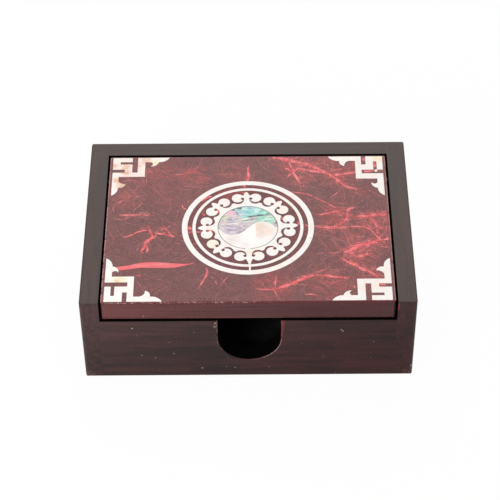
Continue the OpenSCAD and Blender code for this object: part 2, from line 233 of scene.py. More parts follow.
# Specks of many sizes on faces of every direction: two slanted coordinates stand for the surface
def specks(place, spacing, size, share, slant):
    x, y, z = split(place)
    flat = place.node("ShaderNodeCombineXYZ", {}, {0: x + y * 0.73 + z * slant, 1: z + y * 0.61})
    cell = place.node("ShaderNodeTexVoronoi", {"voronoi_dimensions": "2D"},
                      {"Vector": flat, "Scale": 1 / spacing})
    lot, grade, strength = split(cell.other("Color"))
    reach = (grade * grade + 0.25) * (size / spacing)
    return cell.fall(reach * 0.4, reach) * (lot < share) * (strength * 0.7 + 0.3)


lacquerLook = {
    # left and right tones: darker towards the right, painted light falling from the left
    "umberLeft": tone(35, 22, 22),
    "umberRight": tone(28, 13, 14),
    "maroonLeft": tone(71, 37, 40),
    "maroonRight": tone(64, 27, 30),
    "rim": tone(40, 25, 21),
    "rimStreak": tone(60, 41, 36),
    "rimDepth": (0.4, 0.1),
    # grey painted sheen, high on the walls and to the left
    "paintedSheen": tone(82, 66, 64),
    # black paint made darker still: painted shade in the notch and on the front board's top under the lid
    "notchShadeBlack": tone(4, 3, 3),
    "well": tone(10, 8, 8),
    "wellGrain": tone(26, 22, 21),
    "worn": tone(120, 94, 89),
    "dust": tone(196, 184, 176),
    "paintedSheenShare": 0.22,
    "wornShare": 0.6,
    "cornerShare": 0.75,
    "dustShare": 0.8,
    "roughness": 0.42,
    "specular": 0.26,
    "bump": 0.012,
    "wellRoughness": 0.85,
    "wellSpecular": 0.04,
    "wellBump": 0.02,
    "streakLength": 40.0,
    "streakHeight": 1.9,
    "patch": 30.0,
    "wornWidth": 0.3,
    "cornerReach": (1.5, 4.5),
    "cornerHeight": (1.5, 5.5),
    "paint": 0.3,
    "slack": 0.02,
    # dust by chance: spacing and size in mm, share of the cells that hold a speck, and slant
    "dustSizes": [(6.0, 0.19, 0.45, 0.0), (17.0, 0.36, 0.35, 0.5)],
    # single flecks on the front: middle and radius in mm, and strength
    "flecks": [
        ((54.7, 5.4), 0.7, 1.0),
        ((30.5, 23.7), 0.3, 0.6),
        ((31.0, 23.0), 0.36, 0.8),
        ((-38.2, 24.9), 0.36, 0.7),
        ((-24.9, 12.3), 0.3, 0.5),
        ((-15.6, 4.9), 0.36, 0.7),
        ((-31.1, 10.2), 0.3, 0.4),
    ],
}

# The finger notch, its marks and the painted highlights on its edges, seen from the front, in mm
notchLook = {
    "middle": 0.3,
    "radius": 10.45,
    "lowZ": 9.0,
    # red band and red line on the notch's right edge: painted highlight of the edge lit from the left
    "band": tone(98, 46, 51),
    "bandWidth": 1.4,
    "bandShare": 0.85,
    "line": tone(150, 52, 60),
    # pale: painted highlight along the notch's left and low right edges, and the chips at its top left
    "pale": tone(176, 148, 140),
    "paleShare": 0.42,
    "chipShare": 0.9,
    "chips": (-10.7, 26.4),
    "chipReach": 2.0,
    "redChip": tone(150, 48, 54),
    "redChipWidth": 0.45,
    "redChipLowZ": 33.2,
}


# Satin lacquer on the boards of the box, with its streaks along one axis and the well painted black
def lacquerFinish(name, along, look, notch):
    material, paint = startFinish(name)
    place = placeInMm(paint)
    x, y, z = split(place)
    thin = 1 / look["streakHeight"]
    stretch = [thin, thin, thin]
    stretch[along] = 1 / look["streakLength"]
    streak = cloud(stretched(warped(place, 0.05, 3.0), stretch), 1.0, 4.0)
    patch = cloud(place, 1 / look["patch"], 2.0)
    fine = cloud(place, 2.2, 4.0)
    red = (streak * 0.55 + patch * 0.45 + fine * 0.4).rise(0.56, 0.9)
    # darker towards the right: painted light falling from the left
    paintedFalloff = x.rise(boxLow.x, boxHigh.x)
    umber = paintedFalloff.mix(look["umberLeft"], look["umberRight"])
    color = red.mix(umber, paintedFalloff.mix(look["maroonLeft"], look["maroonRight"]))

    # a greyer veil high on the walls and to the left, painted sheen, and a browner rim
    high = z * (0.55 / rimZ) - x * (0.25 / boxHigh.x) + streak * 0.5
    color = (high.rise(0.2, 1.05) * look["paintedSheenShare"]).mix(color, look["paintedSheen"])
    rim = (streak * 0.5 + fine * 0.5).rise(0.38, 0.64).mix(look["rim"], look["rimStreak"])
    rimLow, rimFull = look["rimDepth"]
    color = z.rise(rimZ - rimLow, rimZ - rimFull).mix(color, rim)

    # worn line along the outer edges: the second smallest distance to the faces of the box
    toSide = boxHigh.x - abs(x)
    toEnd = boxHigh.y - abs(y)
    toTop = rimZ - z
    toEdge = larger(smaller(toSide, toEnd), smaller(larger(toSide, toEnd), toTop))
    rough = cloud(place, 0.7, 4.0)
    worn = toEdge.fall(0.0, look["wornWidth"]) * rough.rise(0.5, 0.7) * look["wornShare"]
    lowCorner = larger(toSide, toEnd).fall(*look["cornerReach"]) * z.fall(*look["cornerHeight"])
    chipped = lowCorner * cloud(place, 1.4, 3.0).rise(0.5, 0.62) * look["cornerShare"]
    color = larger(worn, chipped).mix(color, look["worn"])

    # painted highlights on the edges of the notch and pale chips round it, on the front face only
    across = x - notch["middle"]
    middleZ = notch["lowZ"] + notch["radius"]
    fromNotch = away(across, smaller(z - middleZ, 0.0)) - notch["radius"]
    front = y < boxLow.y + look["paint"]
    # a red band down the right edge, widest at the top, with a red line at its inner edge: painted
    # highlight
    upper = z.rise(middleZ - 3.0, frontTopZ)
    reach = upper * notch["bandWidth"] + 0.15
    band = fromNotch.fall(reach * 0.6, reach) * (across > 0.0) * front
    color = (band * notch["bandShare"]).mix(color, notch["band"])
    redEdgeHighlight = fromNotch.fall(0.2, 0.5) * band * z.rise(notch["lowZ"] + 3.0, middleZ)
    color = (redEdgeHighlight * rough.rise(0.35, 0.6)).mix(color, notch["line"])
    # a pale line along the left edge and the low right: painted highlight; pale chips at the top left
    leftSide = (across < 0.0) * z.rise(notch["lowZ"] + 2.0, middleZ - 1.0)
    lowRight = (across > 4.0) * (z < middleZ)
    paleEdgeHighlight = larger(leftSide, lowRight) * rough.rise(0.4, 0.56) * front
    pale = fromNotch.fall(0.15, leftSide * 0.15 + 0.3) * paleEdgeHighlight * notch["paleShare"]
    flaked = cloud(place, 1.3, 3.0).rise(0.54, 0.6) * front
    chips = spot(x, z, notch["chips"], notch["chipReach"], 0.6) * flaked
    color = (larger(pale, chips) * notch["chipShare"]).mix(color, notch["pale"])
    fromWell = x - wellHalfWidth
    inner = fromWell.fall(0.5 * notch["redChipWidth"], notch["redChipWidth"]) * (fromWell > -1.0)
    redChip = inner * (y < boxLow.y + 1.0) * (z > notch["redChipLowZ"]) * rough.rise(0.4, 0.55)
    color = redChip.mix(color, notch["redChip"])

    fineDust, coarseDust = [specks(place, *sizes) for sizes in look["dustSizes"]]
    dust = larger(fineDust, coarseDust)
    for middle, radius, strength in look["flecks"]:
        dust = larger(dust, spot(x, z, middle, radius, 0.5) * front * strength)
    color = (dust * look["dustShare"]).mix(color, look["dust"])
    roughness = look["roughness"] + fine * 0.1 + dust * 0.3
    outside = coat(paint, color, roughness, fine + dust * 2.0, look["bump"],
                   {"Specular IOR Level": look["specular"]})

    # the well is painted a dull black; the notch and the top of the front board under the lid are blacker
    # still, black paint with painted shade
    slack = look["slack"]
    inside = (abs(x) < wellHalfWidth + slack) * (y < wellBackY + slack) * (y > boxLow.y + look["paint"])
    black = (streak * 0.6 + rough * 0.4).rise(0.4, 0.66).mix(look["well"], look["wellGrain"])
    black = (y < wellFrontY - slack).mix(black, look["notchShadeBlack"])
    dull = coat(paint, black, fine * 0.1 + look["wellRoughness"], fine, look["wellBump"],
                {"Specular IOR Level": look["wellSpecular"]})
    closeFinish(paint, paint.node("ShaderNodeMixShader", {}, {0: inside, 1: outside, 2: dull}))
    return material


alongX = 0
alongY = 1
acrossBoards = ["front_panel", "back_panel", "floor_panel"]
deepBoards = ["left_panel", "right_panel"]
giveFinish(acrossBoards, lacquerFinish("boxLacquerAcross", alongX, lacquerLook, notchLook))
giveFinish(deepBoards, lacquerFinish("boxLacquerDeep", alongY, lacquerLook, notchLook))
print("box lacquered")


lidEdgeLook = {
    # left and right tones: darker towards the right, painted light falling from the left
    "left": tone(101, 54, 53),
    "right": tone(74, 39, 41),
    "deep": tone(58, 24, 27),
    "pale": tone(116, 70, 68),
    "under": tone(10, 7, 7),
    "underStreak": tone(30, 18, 18),
    "stain": tone(86, 32, 35),
    "stainDepth": (0.6, 0.25),
    "stainWave": 1.8,
    # a lighter line along the rounded lower edge: painted highlight, broken by noise
    "lowerHighlightDepth": (0.25, 0.75),
    "worn": tone(150, 100, 96),
    "dust": tone(196, 170, 164),
    "dustSizes": (8.0, 0.3, 0.4, 0.0),
    "deepShare": 0.7,
    "paleShare": 0.5,
    "stainShare": 0.8,
    "wornShare": 0.75,
    "dustShare": 0.7,
    "roughness": 0.45,
    "specular": 0.3,
    "bump": 0.012,
}


# Thinner, redder lacquer on the edges of the lid; its underside is dark
def lidEdgeFinish(look):
    material, paint = startFinish("lidEdgeLacquer")
    place = placeInMm(paint)
    x, y, z = split(place)
    streak = cloud(stretched(place, (0.03, 0.03, 1.1)), 1.0, 4.0)
    fine = cloud(place, 1.7, 4.0)
    rough = cloud(place, 1.1, 4.0)
    # darker towards the right: painted light falling from the left
    color = x.rise(boardLow.x - 10.0, 0.6 * boardHigh.x).mix(look["left"], look["right"])
    color = ((streak * 0.6 + fine * 0.5).rise(0.5, 0.66) * look["deepShare"]).mix(color, look["deep"])
    color = (fine.rise(0.5, 0.64) * x.fall(-30.0, 40.0) * look["paleShare"]).mix(color, look["pale"])
    stainLow, stainFull = look["stainDepth"]
    wavy = z + (rough - 0.5) * look["stainWave"]
    stain = wavy.rise(boardHigh.z - stainLow, boardHigh.z - stainFull)
    color = (stain * look["stainShare"]).mix(color, look["stain"])
    # a lighter broken line along the rounded lower edge: painted highlight that lifts the shade there
    worn = (z - boardLow.z).fall(*look["lowerHighlightDepth"]) * rough.rise(0.2, 0.55)
    color = (worn * look["wornShare"]).mix(color, look["worn"])
    dust = specks(place, *look["dustSizes"])
    color = (dust * look["dustShare"]).mix(color, look["dust"])
    brushed = cloud(stretched(warped(place, 0.05, 4.0), (0.025, 0.5, 1.0)), 1.0, 4.0) * 0.7 + fine * 0.3
    under = brushed.rise(0.4, 0.66).mix(look["under"], look["underStreak"])
    color = (z < boardLow.z + lacquerLook["slack"]).mix(color, under)
    roughness = look["roughness"] + fine * 0.12
    closeFinish(paint, coat(paint, color, roughness, fine + dust * 2.0, look["bump"],
                            {"Specular IOR Level": look["specular"]}))
    return material


giveFinish(["lid_board"], lidEdgeFinish(lidEdgeLook))
print("lid board lacquered")


paperLook = {
    "dark": tone(80, 35, 35),
    "ground": tone(119, 68, 68),
    "haze": tone(186, 67, 70),
    "thread": tone(198, 114, 114),
    # darker paper in the slots inside the rings: painted shade in the narrow recesses between the shells
    "slot": tone(84, 42, 41),
    "slotReach": 20.6,
    "pale": tone(196, 160, 154),
    # painted highlight along the side edges of the lid
    "sideHighlight": tone(200, 150, 146),
    "sideWidth": 0.36,
    "frontLine": tone(92, 36, 38),
    "frontWidth": 0.42,
    "chip": tone(206, 172, 166),
    "crumb": tone(246, 238, 228),
    "crumbs": [((44.5, 23.8), 0.7, 1.0)],
    "fuzz": [((-35.4, 2.7), 2.6, 0.9), ((33.0, -17.5), 1.6, 0.3)],
    "strandAngles": (-38, 12, 58, 97),
    "slotShare": 0.8,
    "hazeShare": 0.84,
    "threadShare": (0.22, 0.45),
    "paleShare": 0.5,
    "paleSizes": (4.0, 0.26, 0.3, 0.0),
    "sideShare": 0.8,
    "frontWave": 0.9,
    "chipShare": 0.7,
    "chipWidth": (0.08, 0.3),
    "chipEnd": (-6.0, 12.0),
    "fullLift": 0.044,
    "roughness": 0.38,
    "specular": 0.27,
    "bump": 0.008,
    # where the paper is redder: middle and radius in mm, and strength
    "hazeSpots": [
        ((43.0, -3.0), 10.0, 1.2),
        ((36.0, -14.5), 12.0, 1.0),
        ((17.0, 25.5), 12.0, 1.0),
        ((30.0, 1.0), 11.0, 0.85),
        ((27.0, -30.0), 11.0, 0.7),
        ((8.0, -31.0), 11.0, 0.7),
        ((-18.5, 21.0), 8.5, 1.0),
        ((-41.0, 11.0), 8.0, 0.5),
        ((-31.0, 24.0), 14.0, 0.5),
        ((-27.0, 11.0), 12.0, 0.3),
        ((32.0, 21.0), 10.0, 0.7),
        ((-6.0, 24.0), 10.0, 0.35),
        ((41.0, -26.0), 8.0, 0.6),
    ],
}

# Fibre colours that the paper takes where the sheet stands up in a fibre
redFibre = {
    "core": tone(247, 124, 129),
    "deep": tone(206, 58, 64),
    "fray": 1.6,
    "grain": (1.0, 1.0, 1.0),
    "lump": 0.5,
}
hairFibre = {
    "core": tone(236, 128, 130),
    "deep": tone(206, 76, 80),
    "fray": 2.2,
    "grain": (1.0, 1.0, 1.0),
    "lump": 0.8,
}
paleFibre = {
    "core": tone(238, 120, 126),
    "deep": tone(218, 84, 90),
    "fray": 0.5,
    "grain": (0.1, 1.3, 1.0),
    "lump": 0.6,
}


# Mulberry paper under lacquer: a mottled ground with short threads, and red where fibres lie in it
def paperFinish(name, look, fibre):
    material, paint = startFinish(name)
    place = placeInMm(paint)
    x, y, z = split(place)
    mottle = cloud(place, 0.7, 4.0)
    grain = cloud(place, 2.0, 3.0)
    color = (mottle * 0.3 + grain * 0.7).rise(0.35, 0.65).mix(look["dark"], look["ground"])
    # darker paper in the slots inside the rings: painted shade in the narrow recesses between the shells
    fromRings = away(x - ringMiddle.x, y - ringMiddle.y)
    slot = fromRings.fall(look["slotReach"] - 0.4, look["slotReach"])
    color = (slot * grain.fall(0.4, 0.6) * look["slotShare"]).mix(color, look["slot"])

    # redder clouds, in the places given and by chance
    backRight = (x * 0.4 + y).rise(-40.0, 40.0)
    haze = cloud(stretched(place, (0.06, 0.09, 0.09)), 1.0, 3.0).rise(0.45, 0.75) * backRight * 0.6
    for middle, radius, strength in look["hazeSpots"]:
        haze = larger(haze, spot(x, y, middle, radius, 0.0) * strength)
    wisp = cloud(stretched(turned(warped(place, 0.12, 5.0), 18), (0.16, 0.55, 1.0)), 1.0, 4.0)
    soft = (wisp * 0.75 + grain * 0.25).rise(0.34, 0.66)
    color = (haze * soft * look["hazeShare"]).mix(color, look["haze"])

    # short threads that cross in a few directions and flow a little
    flow = warped(place, 0.09, 6.0)
    thread = None
    for turn in look["strandAngles"]:
        lane = moved(turned(flow, turn), (turn * 1.7, turn * 0.9, 0.0))
        group = cloud(moved(place, (turn * 2.3, turn * 1.1, 0.0)), 0.07, 1.0).rise(0.46, 0.62)
        line = cloud(stretched(lane, (0.07, 2.1, 1.0)), 1.0, 1.0).rise(0.57, 0.72)
        strand = line * (group * 0.85 + 0.15)
        thread = strand if thread is None else larger(thread, strand)
    plain, hazy = look["threadShare"]
    color = (thread * (haze * hazy + plain)).mix(color, look["thread"])
    pale = specks(place, *look["paleSizes"])
    color = (pale * look["paleShare"]).mix(color, look["pale"])
    for middle, radius, strength in look["crumbs"]:
        color = (spot(x, y, middle, radius, 0.6) * strength).mix(color, look["crumb"])
    for middle, radius, strength in look["fuzz"]:
        tangle = spot(x, y, middle, radius, 0.1) * grain.rise(0.52, 0.64)
        color = (tangle * strength).mix(color, look["pale"])

    # where the sheet stands up in a fibre it is red, frayed towards the flanks of the fibre
    rank = (z - lidHigh.z) * (1 / look["fullLift"])
    run = stretched(place, fibre["grain"])
    tuft = cloud(run, 2.6, 3.0) * 0.5 + cloud(run, fibre["lump"], 2.0) * 0.5
    body = (rank + (tuft - 0.5) * fibre["fray"]).rise(0.12, 0.85) * rank.rise(0.03, 0.3)
    color = body.mix(color, tuft.rise(0.4, 0.58).mix(fibre["deep"], fibre["core"]))

    # a painted highlight along the sides; dark red lacquer with small chips comes over the front edge
    toSide = lidHigh.x - abs(x)
    sideHighlightMask = toSide.fall(0.6 * look["sideWidth"], look["sideWidth"]) * mottle.rise(0.3, 0.5)
    color = (sideHighlightMask * look["sideShare"]).mix(color, look["sideHighlight"])
    toFront = y - lidLow.y + (cloud(place, 1.2, 4.0) - 0.5) * look["frontWave"]
    color = toFront.fall(0.5 * look["frontWidth"], look["frontWidth"]).mix(color, look["frontLine"])
    flaked = (cloud(place, 2.6, 3.0) * 0.6 + mottle * 0.4).rise(0.5, 0.6) * x.fall(*look["chipEnd"])
    chip = (y - lidLow.y).fall(*look["chipWidth"]) * flaked
    color = (chip * look["chipShare"]).mix(color, look["chip"])
    roughness = look["roughness"] + grain * 0.14 + slot * 0.08
    closeFinish(paint, coat(paint, color, roughness, mottle + grain, look["bump"],
                            {"Specular IOR Level": look["specular"]}))
    return material


fibrePaper = paperFinish("fibrePaper", paperLook, redFibre)
hairPaper = paperFinish("hairPaper", paperLook, hairFibre)
stripPaper = paperFinish("stripPaper", paperLook, paleFibre)
giveFinish(["lid_facing"], fibrePaper)
print("lid faced with paper")


nacreLook = {
    "white": tone(235, 232, 231),
    "rose": tone(235, 217, 213),
    "mint": tone(224, 230, 224),
    "cream": tone(238, 225, 206),
    "line": tone(66, 60, 60),
    "lineWidth": 0.16,
    "lineShare": 0.9,
    "mintShare": 0.8,
    "creamShare": 0.7,
    "roughness": 0.25,
    "specular": 0.45,
    "bump": 0.003,
}

# Tints of single shells: middle and radius in mm, colour and strength
amber = tone(208, 142, 82)
straw = tone(236, 206, 146)
peach = tone(222, 198, 181)
blush = tone(236, 208, 198)
shade = tone(216, 204, 206)
chalk = tone(240, 238, 239)
nick = tone(96, 62, 56)
shellTints = {
    "corner_inlay_back_left": [
        ((-41.0, 25.0), 12.0, blush, 0.8),
        ((-46.4, 26.8), 2.0, amber, 0.85),
        ((-42.6, 26.2), 2.4, amber, 0.85),
        ((-42.2, 23.4), 2.2, amber, 0.9),
        ((-45.2, 19.4), 2.4, amber, 0.85),
        ((-43.6, 16.8), 2.8, amber, 0.95),
        ((-35.8, 29.8), 3.2, amber, 0.85),
        ((-32.4, 28.4), 2.4, straw, 0.9),
        ((-38.2, 27.0), 2.4, amber, 0.5),
    ],
    "corner_inlay_back_right": [((40.0, 24.0), 9.0, blush, 0.4), ((45.8, 29.9), 3.6, straw, 0.95)],
    "corner_inlay_front_left": [((-42.2, -27.4), 3.4, straw, 0.8), ((-43.2, -28.3), 1.3, amber, 0.5)],
    "corner_inlay_front_right": [((40.0, -30.0), 9.0, blush, 0.4)],
    "scroll_medallion": [
        ((-12.0, -12.0), 3.6, straw, 0.4),
        ((13.0, 6.0), 4.0, straw, 0.25),
        ((2.0, -16.0), 4.0, straw, 0.2),
    ],
    "outer_ring": [((20.85, -9.1), 0.5, nick, 0.9)],
    "pearl_head": [
        ((5.0, -11.0), 5.0, chalk, 0.9),
        ((4.4, -4.2), 4.6, peach, 1.0),
        ((3.9, -7.2), 2.9, peach, 0.95),
        ((7.4, -5.8), 3.4, blush, 0.9),
    ],
    "pearl_tail": [
        ((0.0, -8.0), 9.0, chalk, 0.95),
        ((-5.0, -9.6), 4.0, shade, 0.8),
        ((-1.0, -12.0), 2.5, shade, 0.5),
    ],
}


# Mother-of-pearl: nearly white, with slow tints and a fine mottling
def nacreFinish(name, look, tints):
    material, paint = startFinish(name)
    place = placeInMm(paint)
    x, y = split(place)[:2]
    shifted = moved(place, (31.0, 17.0, 5.0))
    fine = cloud(place, 1.5, 3.0)
    color = (cloud(place, 0.3, 3.0) * 0.6 + fine * 0.4).rise(0.45, 0.65).mix(look["white"], look["rose"])
    green = (cloud(shifted, 0.4, 3.0) * 0.6 + fine * 0.4).rise(0.5, 0.66)
    color = (green * look["mintShare"]).mix(color, look["mint"])
    color = (cloud(shifted, 0.9, 3.0).rise(0.52, 0.7) * look["creamShare"]).mix(color, look["cream"])
    loose = warped(place, 0.8, 1.6)
    looseX, looseY = split(loose)[:2]
    bands = cloud(stretched(loose, (0.35, 1.5, 1.0)), 1.0, 3.0).rise(0.3, 0.6)
    for middle, radius, tint, strength in tints:
        banded = spot(looseX, looseY, middle, radius, 0.1) * (bands * 0.6 + 0.4)
        color = (banded * strength).mix(color, tint)

    # thin dark line of lacquer round the disc
    ring = abs(away(x - discMiddle.x, y - discMiddle.y) - discRadius)
    broken = away(x - discMiddle.x, y - discLow.y).rise(0.6, 1.1)
    line = ring.fall(0.5 * look["lineWidth"], look["lineWidth"]) * broken
    color = (line * look["lineShare"]).mix(color, look["line"])
    closeFinish(paint, coat(paint, color, look["roughness"] + fine * 0.08, fine, look["bump"],
                            {"Specular IOR Level": look["specular"]}))
    return material


pearlNodes = ["outer_ring", "inner_ring", "scroll_medallion", "pearl_tail", "pearl_head",
              "corner_inlay_front_left", "corner_inlay_front_right",
              "corner_inlay_back_right", "corner_inlay_back_left"]
nacreByNode = {}
for name in pearlNodes:
    nacreByNode[name] = nacreFinish("nacre_" + name, nacreLook, shellTints.get(name, []))
    giveFinish([name], nacreByNode[name])
print("pearl shells finished:", len(pearlNodes))


# Abalone: tints by place from the middle of the disc in mm, over a base colour, with streaks and veins
abaloneLook = {
    "abalone_crown": {
        "base": tone(130, 202, 198),
        "tints": [
            ((-2.6, 6.6), 2.4, tone(172, 192, 214), 0.95),
            ((0.2, 7.7), 2.0, tone(112, 200, 202), 0.9),
            ((2.4, 6.6), 1.8, tone(124, 202, 188), 0.9),
            ((3.4, 8.3), 1.6, tone(196, 228, 220), 0.85),
            ((5.4, 7.4), 2.2, tone(130, 208, 188), 0.9),
            ((7.0, 6.2), 1.4, tone(96, 168, 156), 0.8),
            ((0.8, 9.7), 1.4, tone(150, 140, 186), 0.9),
            ((-3.2, 9.6), 1.6, tone(60, 58, 64), 1.0),
        ],
        "light": tone(218, 238, 236),
        "dark": tone(58, 122, 126),
        "veins": [
            ((-0.8, 5.2), (7.2, 5.95), 0.72, 1.0),
            ((-1.6, 7.0), (2.0, 6.9), 0.2, 0.3),
        ],
        "vein": tone(16, 42, 48),
        "lean": 4,
        "contrast": 0.6,
    },
    "abalone_tail": {
        "base": tone(190, 177, 181),
        "tints": [
            ((-5.9, 7.3), 2.6, tone(226, 170, 192), 0.95),
            ((-6.9, 5.7), 1.6, tone(222, 188, 184), 0.7),
            ((-8.2, 4.6), 1.5, tone(166, 202, 142), 0.95),
            ((-5.2, 3.4), 1.7, tone(160, 186, 202), 0.8),
            ((-7.8, 2.2), 1.8, tone(214, 194, 190), 0.7),
            ((-1.0, 3.6), 2.4, tone(202, 220, 206), 0.9),
            ((-5.8, -1.2), 3.4, tone(190, 166, 196), 0.9),
            ((-2.2, 0.8), 1.8, tone(206, 184, 196), 0.7),
            ((2.6, 3.2), 2.0, tone(184, 204, 204), 0.85),
            ((4.6, 4.4), 2.9, tone(130, 202, 182), 0.95),
            ((7.4, 3.6), 2.8, tone(146, 224, 194), 0.95),
            ((9.7, 2.2), 1.3, tone(58, 70, 76), 0.95),
            ((-4.8, 8.8), 1.5, tone(62, 50, 58), 1.0),
        ],
        "light": tone(236, 230, 232),
        "dark": tone(120, 104, 118),
        "veins": [
            ((-4.5, 9.2), (-2.8, 5.4), 0.32, 0.9),
            ((-2.4, 2.9), (3.4, 4.4), 0.34, 0.85),
            ((-2.0, 4.3), (1.6, 4.7), 0.24, 0.6),
            ((-8.6, 1.2), (-2.4, 0.3), 0.3, 0.8),
            ((-8.0, -0.9), (-3.0, -1.5), 0.34, 0.75),
            ((-7.6, 2.6), (-3.6, 2.2), 0.24, 0.6),
            ((5.0, 3.2), (9.4, 2.0), 0.24, 0.5),
        ],
        "vein": tone(74, 68, 84),
        "lean": -8,
        "contrast": 1.0,
    },
}


# What both pieces of abalone share
abaloneGloss = {
    "roughness": 0.2,
    "specular": 0.45,
    "bump": 0.006,
    "lightShare": 0.6,
    "darkShare": 0.65,
    "fineLightShare": 0.4,
    "fineDarkShare": 0.45,
    "rimShare": 0.9,
}


def abaloneFinish(name, look, gloss):
    material, paint = startFinish(name)
    place = placeInMm(paint)
    centred = moved(place, tuple(-discMiddle))
    x, y = split(centred)[:2]
    loose = warped(centred, 0.5, 1.8)
    looseX, looseY = split(loose)[:2]
    swell = cloud(centred, 0.5, 3.0)
    color = (swell.rise(0.45, 0.7) * 0.3).mix(look["base"], look["light"])
    for middle, radius, tint, strength in look["tints"]:
        color = (spot(looseX, looseY, middle, radius) * strength).mix(color, tint)

    # flowing streaks, light ones and dark ones
    flow = turned(warped(centred, 0.35, 2.6), look["lean"])
    streak = cloud(stretched(flow, (0.22, 1.1, 1.0)), 1.0, 3.0)
    fine = cloud(stretched(flow, (0.5, 2.6, 1.0)), 1.0, 2.0)
    contrast = look["contrast"]
    color = (streak.rise(0.54, 0.68) * gloss["lightShare"]).mix(color, look["light"])
    color = (streak.fall(0.34, 0.46) * (gloss["darkShare"] * contrast)).mix(color, look["dark"])
    color = (fine.rise(0.56, 0.66) * gloss["fineLightShare"]).mix(color, look["light"])
    color = (fine.fall(0.36, 0.46) * (gloss["fineDarkShare"] * contrast)).mix(color, look["dark"])

    # single strong veins along lines that the ripples bend
    for (startX, startY), (endX, endY), width, strength in look["veins"]:
        run = Vector((endX - startX, endY - startY))
        length = run.length
        run.normalize()
        along = (looseX - startX) * run.x + (looseY - startY) * run.y
        aside = (looseY - startY) * run.x - (looseX - startX) * run.y
        ends = along.rise(-0.4, 1.4) * along.fall(length - 1.4, length + 0.4)
        color = (abs(aside).fall(0.2 * width, width) * ends * strength).mix(color, look["vein"])
    rim = away(x, y).rise(discRadius - 0.2, discRadius - 0.05)
    color = (rim * gloss["rimShare"]).mix(color, nacreLook["line"])
    closeFinish(paint, coat(paint, color, fine * 0.1 + gloss["roughness"], streak, gloss["bump"],
                            {"Specular IOR Level": gloss["specular"]}))
    return material


for name, look in abaloneLook.items():
    giveFinish([name], abaloneFinish(name + "Shell", look, abaloneGloss))
print("abalone shells finished:", len(abaloneLook))


pinLook = {"steel": tone(96, 94, 94), "dull": tone(58, 56, 56), "roughness": 0.5, "bump": 0.004}


def pinFinish(look):
    material, paint = startFinish("pinSteel")
    place = placeInMm(paint)
    drawn = cloud(stretched(place, (0.2, 6.0, 6.0)), 1.0, 3.0)
    color = drawn.mix(look["dull"], look["steel"])
    roughness = look["roughness"] + drawn * 0.15
    closeFinish(paint, coat(paint, color, roughness, drawn, look["bump"], {"Metallic": 1.0}))
    return material


giveFinish(["left_pivot_pin", "right_pivot_pin"], pinFinish(pinLook))
print("pins finished")


def placePiece(name, mesh, finish, body):
    bmesh.ops.recalc_face_normals(mesh, faces=mesh.faces)
    data = bpy.data.meshes.new(name)
    mesh.to_mesh(data)
    mesh.free()
    piece = bpy.data.objects.new(name, data)
    bpy.context.scene.collection.objects.link(piece)
    data.materials.append(finish)
    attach(piece, body)
    return piece


# Skin over rows of corners, closed at both ends
def skinRows(mesh, rows):
    sides = len(rows[0])
    for row, following in zip(rows, rows[1:]):
        for a in range(sides):
            b = (a + 1) % sides
            mesh.faces.new((row[a], row[b], following[b], following[a]))
    mesh.faces.new(rows[0][::-1])
    mesh.faces.new(rows[-1])


# Glue line that closes the joint of the two pearl pieces, in mm from the middle of the disc
glueLook = {
    "place": 2.6,
    "low": -9.72,
    "high": 1.98,
    "turn": 1.8,
    "width": 0.1,
    "uneven": 0.15,
    "ripple": 1.7,
    "sink": 0.004,
    "deep": 0.4,
    "cells": 24,
}


def fillJoint(look):
    top = discHigh.z - look["sink"]
    hollow = top - look["sink"]
    foot = top - look["deep"]
    mesh = bmesh.new()
    turn = Matrix.Rotation(math.radians(look["turn"]), 3, "Z")
    rows = []
    for i in range(look["cells"] + 1):
        y = look["low"] + (look["high"] - look["low"]) * i / look["cells"]
        half = 0.5 * look["width"] * (1 + look["uneven"] * math.sin(look["ripple"] * i))
        row = []
        for offset, z in ((-half, top), (0.0, hollow), (half, top), (half, foot), (-half, foot)):
            spotOnDisc = turn @ Vector((look["place"] + offset, y, 0.0))
            corner = Vector((discMiddle.x + spotOnDisc.x, discMiddle.y + spotOnDisc.y, z))
            row.append(mesh.verts.new(corner * mm))
        rows.append(row)
    skinRows(mesh, rows)
    placePiece("disc_glue_line", mesh, nacreByNode["pearl_tail"], "lid")


fillJoint(glueLook)
print("pearl joint closed")


fibreLook = {
    "seed": 41,
    "step": 0.6,
    "sink": 0.002,
    "margin": 0.4,
    "shortest": 0.000001,
    "spread": 2.05,
    "scattered": 90,
    "beside": 1.0,
    "company": 0.28,
    "flow": 22.0,
    "faint": 0.34,
    "clear": 0.6,
    "uneven": 0.25,
    "unevenPace": 0.9,
    "unevenShift": 7,
    "strandShift": (0.45, 1.0),
    "strandSway": (0.2, 0.5),
    "strandPitch": (5.0, 11.0),
    "strandTrim": (0.0, 0.3),
    "strandWidth": (0.4, 0.6),
    "strandLift": (0.4, 0.8),
    "hairSteps": (8, 26),
    "hairBend": 0.04,
    "hairWander": 0.1,
    "hairLift": (0.35, 1.0),
    "hairWidth": (0.25, 0.45),
    "hairTurn": 0.24,
    "lean": 0.5,
    "leanAcross": 0.7,
    "leanDrift": 1.8,
    "leanTurn": 0.25,
    "stripSpread": 1.15,
}

